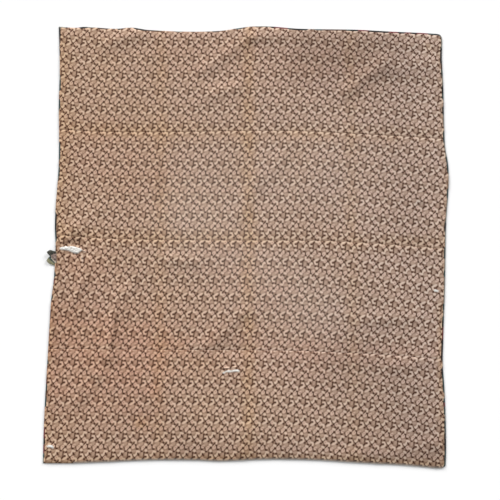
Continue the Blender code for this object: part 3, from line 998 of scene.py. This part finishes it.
def make_face(face, materials):
    """The pieced face and the filling on it: one filled piece with the face underneath."""
    spacing = face.spacing / MM
    across = stops_along(BODY_ACROSS, spacing, BODY_CLOSE_LINES)
    down = stops_along(BODY_DOWN, spacing, BODY_CLOSE_LINES)
    upper, lower = unit_grid(across, down), unit_grid(across, down)
    u, v = flat_places(upper)
    x, y = place_on_face(u, v)
    edge = np.minimum(np.minimum(u, 1 - u) * BODY_ACROSS, np.minimum(v, 1 - v) * BODY_DOWN)
    side = face.patch / MM
    seams = [hump(np.abs((a / side + 0.5) % 1 - 0.5) * side, PATCH_GROOVE_REACH) for a in (x, y)]
    groove = PATCH_GROOVE * np.maximum(*seams) * (1 - hump(edge, PATCH_GROOVE_END))
    rounding = hump(edge, EDGE_SWELL_REACH)
    put(upper, x, y, body_height(x, y) - EDGE_SWELL * rounding)
    put(lower, x, y, groove + EDGE_SWELL_BELOW * rounding)
    bmesh.ops.reverse_faces(lower, faces=lower.faces)
    return close_face(upper, lower, face, materials)


def close_face(upper, lower, face, materials):
    """Joins the two layers of the face at their rims, and gives each face its cloth."""
    mesh = bpy.data.meshes.new("lower")
    lower.to_mesh(mesh)
    lower.free()
    upper.from_mesh(mesh)
    bpy.data.meshes.remove(mesh)
    rims = [e for e in upper.edges if e.is_boundary]
    bmesh.ops.bridge_loops(upper, edges=rims)
    bmesh.ops.recalc_face_normals(upper, faces=upper.faces)
    patch = upper.loops.layers.float_color.new("patch")
    middles = np.array([f.calc_center_median() / MM for f in upper.faces])
    x, y, _ = middles.T
    inside = np.min(edge_distances(x, y), axis=0)
    from_seam = np.min([np.abs(y - curve_at(seam, x)) for seam in SEAMS], axis=0)
    filled = (inside > FILLING_INSET) & (from_seam > TURNING)
    for f, place, is_filled in zip(upper.faces, middles, filled):
        if f.normal.z > 0.3 and is_filled:
            f.material_index = 1
            continue
        letter = face_letter(place[0], place[1], face.patch / MM)
        colour = (*getattr(face, FACE_COLOURS[letter]), 1)
        for loop in f.loops:
            loop[patch] = colour
    obj = finished(upper, "pieced_face_and_filling", materials)
    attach(obj, BODY)
    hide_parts("quilt_body")
    return obj


# How the filling in the tears is made

def make_tuft(number, filling, material):
    """White cotton in one tear: a lumpy pad with loose strands."""
    _, proud, _, outline = TEARS[number - 1]
    corners = np.array(outline, float)
    low, high = corners.min(0) - TUFT_MARGIN, corners.max(0) + TUFT_MARGIN
    bm = unit_grid(*[np.arange(0, size + TUFT_SPACING, TUFT_SPACING) for size in high - low])
    _, _, outside = tuft_places(bm, low, high, outline)
    gone = [f for f in bm.faces if min(outside[p.index] for p in f.verts) > TUFT_UNDER]
    bmesh.ops.delete(bm, geom=gone, context="FACES")
    x, y, outside = tuft_places(bm, low, high, outline)
    lumps = 0.8 + 0.5 * field(x, y, 9, number) + 0.4 * field(x, y, 3.5, number + 9)
    swell = np.clip(-outside / TUFT_RISE, 0, 1) ** 0.6
    z = body_height(x, y) + TUFT_LOW + (CLOTH_TOP + proud) * swell * np.clip(lumps, *TUFT_LUMPS)
    put(bm, x, y, z)
    bmesh.ops.solidify(bm, geom=bm.faces, thickness=TUFT_THICK * MM)
    add_strands(bm, number, outline, proud, filling.strand / MM)
    bmesh.ops.recalc_face_normals(bm, faces=bm.faces)
    obj = finished(bm, f"cotton_tuft_{number}", [material])
    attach(obj, BODY)
    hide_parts(f"filling_tuft_{number}")
    return obj


def tuft_places(bm, low, high, outline):
    """Where a tuft's grid lies, and how far outside the tear each point is."""
    bm.verts.index_update()
    u, v = flat_places(bm)
    x = low[0] + u * (high[0] - low[0])
    y = high[1] - v * (high[1] - low[1])
    return x, y, distance_outside(x, y, outline)


def add_strands(bm, number, outline, proud, thickness):
    """Loose strands of cotton, each a thin tube that arches over the tuft."""
    dice = random.Random(number)
    corners = np.array(outline, float)
    low, high = corners.min(0), corners.max(0)
    wanted = round(STRANDS_PER_TUFT * min(1.0, (high[0] - low[0]) / FULL_TEAR[0] + 0.15))
    shortening = min(1.0, (high[1] - low[1]) / FULL_TEAR[1])
    placed = 0
    while placed < wanted:
        x, y = dice.uniform(low[0], high[0]), dice.uniform(low[1], high[1])
        if distance_outside(np.array([x]), np.array([y]), outline)[0] > -STRAND_INSET:
            continue
        placed += 1
        ground = float(body_height(np.array([x]), np.array([y]))[0]) + CLOTH_TOP + 0.25 * proud
        strand = arched_strand(
            length=dice.uniform(*STRAND_LENGTH) * shortening, rise=dice.uniform(0.2, 0.9) * proud,
            sway=dice.uniform(-0.25, 0.25), thickness=thickness)
        turn = Matrix.Rotation(dice.gauss(0, 0.5), 4, "Z")
        strand.transform(Matrix.Scale(MM, 4) @ Matrix.Translation((x, y, ground)) @ turn)
        bm.from_mesh(strand)
        bpy.data.meshes.remove(strand)


def arched_strand(length, rise, sway, thickness):
    """A thin tube along X that arches up in its middle and bends aside, in millimetres."""
    bm = bmesh.new()
    bmesh.ops.create_cone(
        bm, cap_ends=True, segments=3, radius1=thickness * 0.5, radius2=thickness * 0.35, depth=length)
    bmesh.ops.rotate(bm, verts=bm.verts, cent=(0, 0, 0), matrix=Matrix.Rotation(math.pi / 2, 3, "Y"))
    long_edges = [e for e in bm.edges if abs(e.verts[0].co.x - e.verts[1].co.x) > length / 2]
    bmesh.ops.subdivide_edges(bm, edges=long_edges, cuts=4)
    for vert in bm.verts:
        share = vert.co.x / length * 2
        vert.co.y += sway * length * share**2
        vert.co.z += rise * (1 - share**2)
    mesh = bpy.data.meshes.new("strand")
    bm.to_mesh(mesh)
    bm.free()
    return mesh


# How the torn scrap is made

def along_rail(rail, share):
    """Points at shares along a rail, on a smooth curve."""
    stations = np.linspace(0, 1, len(rail))
    return [curve_at(tuple(zip(stations, axis)), share) for axis in zip(*rail)]


def flap_material(scrap, name):
    look = Look(f"scrap_{name}", 0.92, 0.15)
    place = look.place()
    spots = look.noise(place, 190.0, 3.0)
    colour = (*getattr(scrap, name), 1)
    colour = look.blend(colour, (0.02, 0.02, 0.018, 1), spots.step(0.52, 0.62) * FLAP_SPOTS[name])
    colour = look.blend(colour, (0.42, 0.36, 0.31, 1), spots.step(0.42, 0.30) * 0.5)
    return look.finish(colour, look.bump(look.noise(place, 700.0, 2.0), 0.0004, 0.8))


def make_flap(name, scrap):
    """One flap of the torn scrap, rumpled, with a frayed outer edge."""
    inner, outer = np.array(FLAPS[name], float)
    lengths = [np.linalg.norm(np.diff(rail, axis=0), axis=1).sum() for rail in (inner, outer)]
    length, width = max(lengths), np.linalg.norm(inner - outer, axis=1).max()
    bm = unit_grid(*[np.arange(0, size + FLAP_SPACING, FLAP_SPACING) for size in (length, width)])
    u, v = flat_places(bm)
    first, second = along_rail(inner, u), along_rail(outer, u)
    x, y, z = [a * (1 - v) + b * v for a, b in zip(first, second)]
    seed = len(name)
    frayed = hump((1 - u) * length, FLAP_FRAY_REACH)
    x = x + FLAP_FRAY[0] * frayed * field(x, y, 3.0, seed)
    y = y + FLAP_FRAY[1] * frayed * field(x, y, 2.5, seed + 4)
    z = z + FLAP_RUMPLE * field(x, y, 9, seed + 8) + FLAP_CROWN * np.sin(v * math.pi)
    put(bm, x, y, z)
    bmesh.ops.recalc_face_normals(bm, faces=bm.faces)
    obj = finished(bm, f"scrap_flap_{name}", [flap_material(scrap, name)])
    thicken(obj, scrap.thickness)
    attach(obj, BODY)
    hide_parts("torn_scrap")
    return obj


# Operators, one for each piece or group of like pieces

class QUILT_OT_stage(bpy.types.Operator):
    """Makes the floor, the light and the camera"""

    bl_idname = "quilt.stage"
    bl_label = "Stage"

    def execute(self, context):
        studio = context.scene.quilt_studio
        bm = bmesh.new()
        bmesh.ops.create_grid(bm, x_segments=1, y_segments=1, size=FLOOR_HALF)
        bmesh.ops.translate(bm, verts=bm.verts, vec=(0, 0, -FLOOR_DROP))
        look = Look("floor", 0.9)
        floor = finished(bm, "floor", [look.finish((*studio.floor, 1))])

        world = bpy.data.worlds.new("sky")
        world.use_nodes = True
        background = world.node_tree.nodes["Background"]
        background.inputs["Color"].default_value = (1, 1, 1, 1)
        background.inputs["Strength"].default_value = studio.sky
        context.scene.world = world

        for name, strength, side in (
            ("key", studio.key, studio.spread),
            ("second", studio.second, -studio.spread),
        ):
            light = bpy.data.lights.new(name, "SUN")
            light.energy = strength
            light.angle = studio.key_softness
            lamp = bpy.data.objects.new(name, light)
            context.scene.collection.objects.link(lamp)
            lamp.rotation_euler = (studio.key_height - math.pi / 2, 0, side)

        lens = bpy.data.cameras.new("camera")
        lens.lens = studio.lens
        lens.sensor_width = FILM_WIDTH
        camera = bpy.data.objects.new("camera", lens)
        context.scene.collection.objects.link(camera)
        lean = Vector((0, -math.sin(studio.tilt), math.cos(studio.tilt)))
        camera.location = Vector(studio.aim) + lean * studio.distance
        camera.rotation_euler = (studio.tilt, 0, 0)
        context.scene.camera = camera
        context.scene.view_settings.view_transform = "Standard"
        return {"FINISHED"}


class QUILT_OT_face(bpy.types.Operator):
    """Makes the pieced face and the filling that lies on it"""

    bl_idname = "quilt.face"
    bl_label = "Pieced face and filling"

    def execute(self, context):
        scene = context.scene
        materials = [face_material(), filling_material(scene.quilt_filling)]
        make_face(scene.quilt_face, materials)
        return {"FINISHED"}


class QUILT_OT_back(bpy.types.Operator):
    """Makes the four widths of the printed back"""

    bl_idname = "quilt.back"
    bl_label = "Printed back"

    def execute(self, context):
        cloth = context.scene.quilt_back
        material = back_material(cloth)
        for number in range(1, len(LINES)):
            make_width(number, cloth, material)
        return {"FINISHED"}


class QUILT_OT_tufts(bpy.types.Operator):
    """Makes the white filling that shows in the tears"""

    bl_idname = "quilt.tufts"
    bl_label = "Filling in the tears"

    def execute(self, context):
        filling = context.scene.quilt_filling
        material = bpy.data.materials["white_filling"]
        for number in range(1, len(TEARS) + 1):
            make_tuft(number, filling, material)
        return {"FINISHED"}


class QUILT_OT_scrap(bpy.types.Operator):
    """Makes the torn scrap at the left edge"""

    bl_idname = "quilt.scrap"
    bl_label = "Torn scrap"

    def execute(self, context):
        for name in FLAPS:
            make_flap(name, context.scene.quilt_scrap)
        return {"FINISHED"}


class QUILT_PT_panel(bpy.types.Panel):
    """The quilt's pieces, in the order in which they are made"""

    bl_label = "Quilt"
    bl_idname = "QUILT_PT_panel"
    bl_space_type = "VIEW_3D"
    bl_region_type = "UI"
    bl_category = "Quilt"

    def draw(self, context):
        for operator in OPERATORS:
            self.layout.operator(operator.bl_idname)
        for owner in GROUPS:
            group = getattr(context.scene, owner)
            box = self.layout.box()
            for name in group.__annotations__:
                box.prop(group, name)


OPERATORS = (QUILT_OT_stage, QUILT_OT_face, QUILT_OT_back, QUILT_OT_tufts, QUILT_OT_scrap)
GROUPS = {
    "quilt_studio": Studio,
    "quilt_back": BackCloth,
    "quilt_face": FaceCloth,
    "quilt_filling": Filling,
    "quilt_scrap": Scrap,
}


def register():
    for cls in (*GROUPS.values(), *OPERATORS, QUILT_PT_panel):
        bpy.utils.register_class(cls)
    for name, cls in GROUPS.items():
        setattr(bpy.types.Scene, name, bpy.props.PointerProperty(type=cls))


def unregister():
    for name in GROUPS:
        delattr(bpy.types.Scene, name)
    for cls in (QUILT_PT_panel, *reversed(OPERATORS), *reversed(GROUPS.values())):
        bpy.utils.unregister_class(cls)


def main():
    register()
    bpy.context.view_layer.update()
    bpy.ops.quilt.stage()
    bpy.ops.quilt.face()
    bpy.ops.quilt.back()
    bpy.ops.quilt.tufts()
    bpy.ops.quilt.scrap()
    bpy.context.view_layer.update()


if __name__ == "__main__":
    main()
